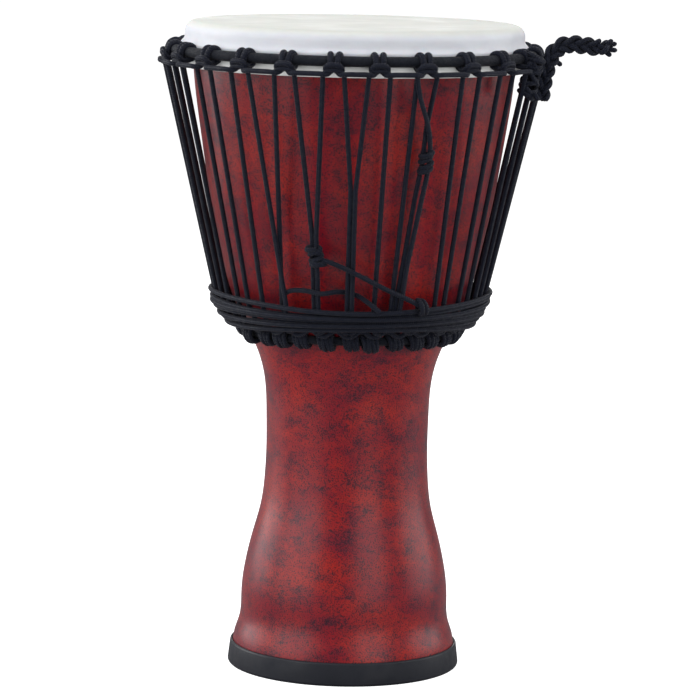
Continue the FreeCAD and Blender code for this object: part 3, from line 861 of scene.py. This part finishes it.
cradle_places = [place for angle in KNOT_ANGLES for place in hitch_places(angle)]
half_swell = [1.0] * (len(HITCH_RISE) - 1) + [TURN_SWELL] * (TURN_STEPS + 1) + [BAR_SWELL] * len(HITCH_BAR)
cradle_swell = (half_swell + half_swell[::-1]) * KNOT_COUNT
top_cradle = lay([cradle_places], closed=True, bend=0.006, swell=cradle_swell)
keep(top_cradle, "top_cradle", "rope", "top_hitches", "top_cradle_links")

# %% [markdown]
# ## The lacing
# The long rope zigzags between the two rings. Each leg is under tension, so it is dead straight between the
# places where it bends: over the cradle at the top, in the loop at the bottom, and where a strand or a knot
# pulls it aside. A smooth spline would bow the legs, so the line has straight runs, and the rope tree rounds
# its corners.

# %% Lacing
LEG_TOP = (9.6, 8.4, -13.0)
ARCH = (7.6, 10.4, -7.2)
LEG_FOOT_HALF = 4.2
LEG_FOOT = (126.4, 352.0)
LOOP = [(3.4, 120.0, 340.0), (2.2, 115.6, 331.5)]

# Loops that hang unevenly, by the knot before them: the loop's own angle, then its left and right leg
UNEVEN_LOOPS = {
    3: (-28.0, [(-26.1, 129.6, 352.0)], [(-29.9, 123.4, 352.0)]),
    4: (-13.8, [(-14.3, 142.2, 424.0), (-14.8, 125.4, 352.0)],
        [(-12.6, 144.2, 424.0), (-12.8, 127.4, 352.0)]),
    5: (-0.2, [(-0.4, 152.0, 466.0), (-1.1, 125.4, 352.0)],
        [(1.2, 153.6, 466.0), (0.9, 127.4, 352.0)]),
    6: (13.8, [(10.0, 126.4, 352.0)], [(17.2, 126.4, 352.0)]),
    7: (28.4, [(23.2, 166.4, 524.0), (23.2, 159.4, 493.0), (22.0, 151.2, 458.0), (18.8, 126.4, 352.0)],
        [(37.6, 126.4, 352.0)]),
    8: (46.6, [(42.6, 126.4, 352.0)], [(51.6, 126.4, 352.0)]),
    9: (61.2, [(58.0, 126.4, 352.0)], [(65.0, 126.4, 352.0)]),
    10: (76.0, [(71.0, 126.4, 352.0)], [(81.0, 126.4, 352.0)]),
}


def low_loop(index):
    """The angle of the low loop after a knot, and the places that its two legs pass."""
    if index in UNEVEN_LOOPS:
        return UNEVEN_LOOPS[index]
    low = KNOT_ANGLES[index] + ((KNOT_ANGLES[(index + 1) % KNOT_COUNT] - KNOT_ANGLES[index]) % 360) / 2
    return low, [(low - LEG_FOOT_HALF, *LEG_FOOT)], [(low + LEG_FOOT_HALF, *LEG_FOOT)]


lacing_places = []
for step in range(KNOT_COUNT):
    index = (TIE_OFF_KNOT + step) % KNOT_COUNT
    angle = KNOT_ANGLES[index]
    low, left, right = low_loop(index)
    if step:
        lacing_places += [at_ring(angle, -LEG_TOP[0], *LEG_TOP[1:]), at_ring(angle, -ARCH[0], *ARCH[1:])]
        lacing_places += [at_ring(angle, *ARCH)]
    lacing_places.append(at_ring(angle, *LEG_TOP))
    lacing_places += [polar(*place) for place in left]
    lacing_places += [polar(low - half, radius, height) for half, radius, height in LOOP]
    lacing_places += [polar(low + half, radius, height) for half, radius, height in reversed(LOOP)]
    lacing_places += [polar(*place) for place in reversed(right)]
lacing_places.append(at_ring(KNOT_ANGLES[TIE_OFF_KNOT], -LEG_TOP[0], *LEG_TOP[1:]))
keep(lay([lacing_places], bend=0.012), "laid_lacing", "rope", "lacing_rope")

# %% [markdown]
# ## The waist
# One rope is wound seven times round the waist to bury the loops of the lacing. It is pulled tight in front,
# where its turns ride up on each other, and it fans out at the sides. Seven stacked hoops would look machine
# made. One line that climbs a step each time round, ripples a little and tangles at one side looks wound.

# %% Waist wraps
WRAP_COUNT = 7
WRAP_PLACES = 150
WRAP_MIDDLE = 344.0
WRAP_SPREAD_FRONT = 7.6
WRAP_SPREAD_SIDE = 14.6
WRAP_STAGGER = 1.9
RIPPLE_UP = 0.6
RIPPLE_OUT = 0.35
TANGLE_UP = 3.0
TANGLE_ANGLE = math.radians(-40.0)
TANGLE_TIGHTNESS = 6
LACING_HEIGHTS = [326.0, 334.0, 341.0, 347.0, 352.0, 360.0]
LACING_RADII = [113.6, 120.0, 125.4, 128.8, 130.6, 131.6]

turns = np.linspace(-0.5, WRAP_COUNT - 0.5, WRAP_PLACES * WRAP_COUNT)
angles = 2 * math.pi * (turns + 0.5) + math.pi
half_count = (WRAP_COUNT - 1) / 2
level = np.clip(turns - half_count, -half_count - 0.2, half_count + 0.2) / half_count
sideways = np.abs(np.sin(angles)) ** 2.0
spread = WRAP_SPREAD_FRONT + (WRAP_SPREAD_SIDE - WRAP_SPREAD_FRONT) * sideways
near_tangle = np.exp(TANGLE_TIGHTNESS * (np.cos(angles - TANGLE_ANGLE) - 1))
height = WRAP_MIDDLE + level * spread + RIPPLE_UP * np.sin(angles * 3 + turns * 2.1)
height += TANGLE_UP * near_tangle * np.sin(2.4 * turns)
stagger = WRAP_STAGGER * (1 - 0.6 * sideways) * np.cos(math.pi * turns)
radius = np.interp(height, LACING_HEIGHTS, LACING_RADII) + stagger + RIPPLE_OUT * np.sin(angles * 5 + turns)
wrap_line = np.stack([radius * np.sin(angles), -radius * np.cos(angles), height], axis=1) * MM
keep(lay([wrap_line], sides=14), "wound_wraps", "rope", "waist_wraps")

# %% [markdown]
# ## The lower ring's rope
# Below the waist a second cradle is tied to the lower ring. One rope dips to the ring at each hitch and
# rises between them, which is a cosine round the drum. The hitches are short leaning turns. They could be
# laid one by one as the crown's are, but these are all alike and half hidden, so one is modelled at the
# front, and the carousel tree sets it down thirty times, each a little out of place.

# %% Lower cradle
LOWER_COUNT = 30
LOWER_STEP = 360 / LOWER_COUNT
LOWER_START = math.radians(-0.2)
DIP_RADIUS = 112.2
DIP_HEIGHT = 328.2
RISE_OUT = 1.6
RISE_UP = 5.6
wave = np.linspace(0.0, 2 * math.pi, LOWER_COUNT * 14, endpoint=False)
rise = 0.5 - 0.5 * np.cos((wave - LOWER_START) * LOWER_COUNT)
radius = DIP_RADIUS + RISE_OUT * rise
height = DIP_HEIGHT + RISE_UP * rise ** 1.2
cradle_line = np.stack([radius * np.sin(wave), -radius * np.cos(wave), height], axis=1) * MM
keep(lay([cradle_line], closed=True), "smiling_cradle", "rope", "lower_cradle_rope")

# %% Lower hitches
# Each turn's place along the ring, its lean and how far it stands out, in mm
LOWER_TURNS = ((-5.5, -1.9, 0.0), (-1.9, -1.1, 1.3), (1.7, -2.3, 0.8), (5.3, -0.8, 0.2))
SLACK_OUT = 1.9
SLACK_UP = 2.4
WOBBLE = math.radians(1.5)
HITCH_TILT = math.radians(0.6)


def lower_turn(along, lean, reach):
    """One leaning turn round the lower ring at the front of the drum, closed on itself."""
    around = np.linspace(0.0, 2 * math.pi, 20, endpoint=False)
    out = (LOWER_BAR / MM + SLACK_OUT + reach) * np.cos(around)
    up = (LOWER_BAR / MM + SLACK_UP + reach) * np.sin(around)
    side = along + lean * np.sin(around)
    return np.stack([side, -(LOWER_R / MM + out), LOWER_Z / MM + up], axis=1) * MM


hitch_mesh = lay([lower_turn(*turn) for turn in LOWER_TURNS], closed=True)
one_hitch = bpy.data.objects.new("one_hitch", hitch_mesh)
bpy.context.scene.collection.objects.link(one_hitch)
print("one hitch faces", len(hitch_mesh.polygons))

# %% Lower hitches round the ring
turned_to = [math.radians(LOWER_STEP * step) + LOWER_START for step in range(LOWER_COUNT)]
places = bpy.data.meshes.new("places")
places.from_pydata([(0.0, 0.0, 0.0)] * LOWER_COUNT, [], [])
places.attributes.new("turn", "FLOAT", "POINT").data.foreach_set("value", turned_to)
places_object = bpy.data.objects.new("places", places)
bpy.context.scene.collection.objects.link(places_object)
values = {"Knot": one_hitch, "Wobble": WOBBLE, "Tilt": HITCH_TILT, "Seed": 4, "Material": rope_finish}
lower_hitches = run_tree(places_object, carousel, values)
bpy.data.objects.remove(one_hitch)
keep(lower_hitches, "lower_ring_hitches", "rope", "lower_hitches")

# %% [markdown]
# ## Strands over the lacing
# Three strands cross the legs of the lacing in front. One pulls down from a slip knot to a hitch on the
# wraps, one is woven over and under the legs as the start of a row of tuning knots, and one is a second
# length of rope spliced in beside a leg. They are slacker than the legs and bend as they cross them, so each
# is a smooth spline through the few places that it passes.

# %% Strands over the lacing
PULL = [
    (-11.6, 142.6, 403.0), (-5.6, 142.4, 398.4), (0.0, 141.4, 392.4), (9.4, 138.6, 380.8),
    (19.5, 136.4, 369.2), (25.5, 136.8, 362.6), (29.2, 137.2, 357.6),
]
WEAVE = [
    (-27.6, 127.4, 367.6), (-24.4, 131.6, 370.8), (-19.6, 134.0, 372.4), (-15.2, 135.6, 371.8),
    (-11.4, 135.6, 370.4), (-7.0, 132.4, 371.6), (-2.4, 125.4, 371.4), (2.4, 125.6, 369.0),
    (6.4, 131.0, 364.2), (9.6, 135.0, 358.6), (11.6, 136.8, 354.6),
]
SPLICE = [
    (18.3, 179.4, 571.0), (19.4, 177.6, 554.0), (22.2, 173.6, 532.0), (24.2, 168.2, 514.0),
    (25.1, 162.6, 494.0), (24.0, 154.4, 458.0), (22.7, 146.4, 424.0), (21.3, 138.0, 388.0),
    (20.7, 132.4, 362.0), (20.3, 127.6, 349.0),
]
for name, route in (("pull_strand", PULL), ("weave_strand", WEAVE), ("splice_strand", SPLICE)):
    keep(lay([smooth_line([polar(*place) for place in route], 90)]), "laid_" + name, "rope", name)

# %% [markdown]
# ## The small knots
# A pulled knot shows as turns of rope heaped round whatever it grips. A true knot's line can be drawn by
# hand, but at this size nobody can follow it. A coil about a short axis gives the same heap of turns: it
# leans, breathes in and out, and runs up and down its axis in passes, so the turns cross.

# %% Small knots
def knot_coil(low, high, radius, turns, passes=0.5, lean=0.0, steps=18):
    """Rope wound round an axis; it runs up and down the axis in passes, so more passes cross more."""
    start, end = polar(*low), polar(*high)
    way = (end - start) / np.linalg.norm(end - start)
    side = np.cross(way, np.array([0.0, 1.0, 0.0]))
    side /= np.linalg.norm(side)
    front = np.cross(way, side)
    part = np.linspace(0.0, 1.0, int(steps * turns))
    angle = 2 * math.pi * turns * part
    reach = radius * MM * (1 + 0.12 * np.sin(angle * 0.63 + 1.0))
    climb = 0.5 - 0.5 * np.cos(2 * math.pi * passes * part)
    middle = start + (end - start) * climb[:, None] + way * (lean * MM * np.cos(angle))[:, None]
    return middle + side * (reach * np.cos(angle))[:, None] + front * (reach * np.sin(angle))[:, None]


# Each knot's axis from low to high, radius in mm, turns, passes and lean
KNOTS = {
    "slip_knot": ((-12.0, 140.0, 398.0), (-13.6, 143.2, 412.5), 5.4, 5.3, 1.5, 1.6),
    "splice_knot": ((24.3, 159.4, 486.0), (24.0, 163.0, 501.0), 5.0, 3.6, 0.5, -1.6),
    "wrap_hitch": ((27.8, 134.8, 358.0), (30.2, 134.8, 359.0), 6.2, 1.7),
    "tie_off_knot": ((65.0, 174.2, 550.5), (65.6, 182.6, 585.0), 6.6, 11.0, 2.5, 2.2),
}
for name, knot in KNOTS.items():
    keep(lay([knot_coil(*knot)]), "tied_" + name, "rope", name)

# %% [markdown]
# ## The tail's knot and the cut ends
# The braid ends in an overhand knot, and the cut ends of rope stick out of it. Two more stick out of the
# tie-off. A pulled overhand knot is close to a trefoil, which a formula gives, so it is that curve, laid as
# rope. Each cut end is sealed with a flame, so its thickness tapers to a blunt melted tip.

# %% Tail's knot
def overhand(centre, size, tilt):
    """The closed line of a tight overhand knot; centre and size in mm."""
    turn = np.linspace(0.0, 2 * math.pi, 60, endpoint=False)
    across = np.sin(turn) + 2 * np.sin(2 * turn)
    ahead = np.cos(turn) - 2 * np.cos(2 * turn)
    trefoil = np.stack([across, ahead, -1.2 * np.sin(3 * turn)], axis=1)
    spun = np.array(Matrix.Rotation(tilt, 3, "X"))
    return np.array(centre) * MM + (trefoil @ spun.T) * size * MM / 3


TAIL_KNOT_CENTRE = (228.6, -61.6, 594.6)
knot_line = overhand(TAIL_KNOT_CENTRE, 6.8, 0.5)
end_knot = keep(lay([knot_line], closed=True), "overhand_knot", "rope", "tail_end_knot")

# %% Loose ends
LOOSE_ENDS = [
    ((165.0, -80.0, 552.0), (169.0, -82.0, 546.0)), ((185.0, -60.0, 581.0), (190.6, -59.0, 577.0)),
    ((231.0, -64.0, 598.0), (236.4, -66.0, 601.6)), ((232.0, -60.0, 596.4), (240.6, -59.4, 598.2)),
    ((232.0, -63.0, 592.8), (240.8, -64.4, 592.2)), ((230.0, -61.0, 590.6), (235.6, -61.4, 586.8)),
]
MELTED = [1.0] * 9 + [0.92, 0.7, 0.3]
loose_lines = [np.linspace(start, tip, len(MELTED)) * MM for start, tip in LOOSE_ENDS]
loose = keep(lay(loose_lines, swell=MELTED), "melted_ends", "rope", "loose_ends")

# %% [markdown]

# %% [markdown]
# ## The floor
# The floor is pale and large enough to fill the view. It glows for the camera so that it stays white, and
# it is darker in reflections, which keeps the gloss of the lacquer from washing out.

# %% Floor
FLOOR = 60.0
floor_mesh = bpy.data.meshes.new("floor")
corners = [(x * FLOOR, y * FLOOR, 0) for x, y in ((-1, -1), (1, -1), (1, 1), (-1, 1))]
floor_mesh.from_pydata(corners, [], [(0, 1, 2, 3)])
floor = bpy.data.objects.new("floor", floor_mesh)
bpy.context.scene.collection.objects.link(floor)
pale, tree, shader = material("studio_floor")
rays = add(tree, "ShaderNodeLightPath")
colour(tree, shader, rays.outputs["Is Glossy Ray"], tint(208, 208, 210), tint(150, 150, 152))
glow = math_node(tree, "MULTIPLY", rays.outputs["Is Camera Ray"], 0.95)
tree.links.new(glow, shader.inputs["Emission Strength"])
shader.inputs["Roughness"].default_value = 1.0
shader.inputs["Specular IOR Level"].default_value = 0.0
shader.inputs["Emission Color"].default_value = (1, 1, 1, 1)
floor_mesh.materials.append(pale)
print("floor", FLOOR * 2, "m across")
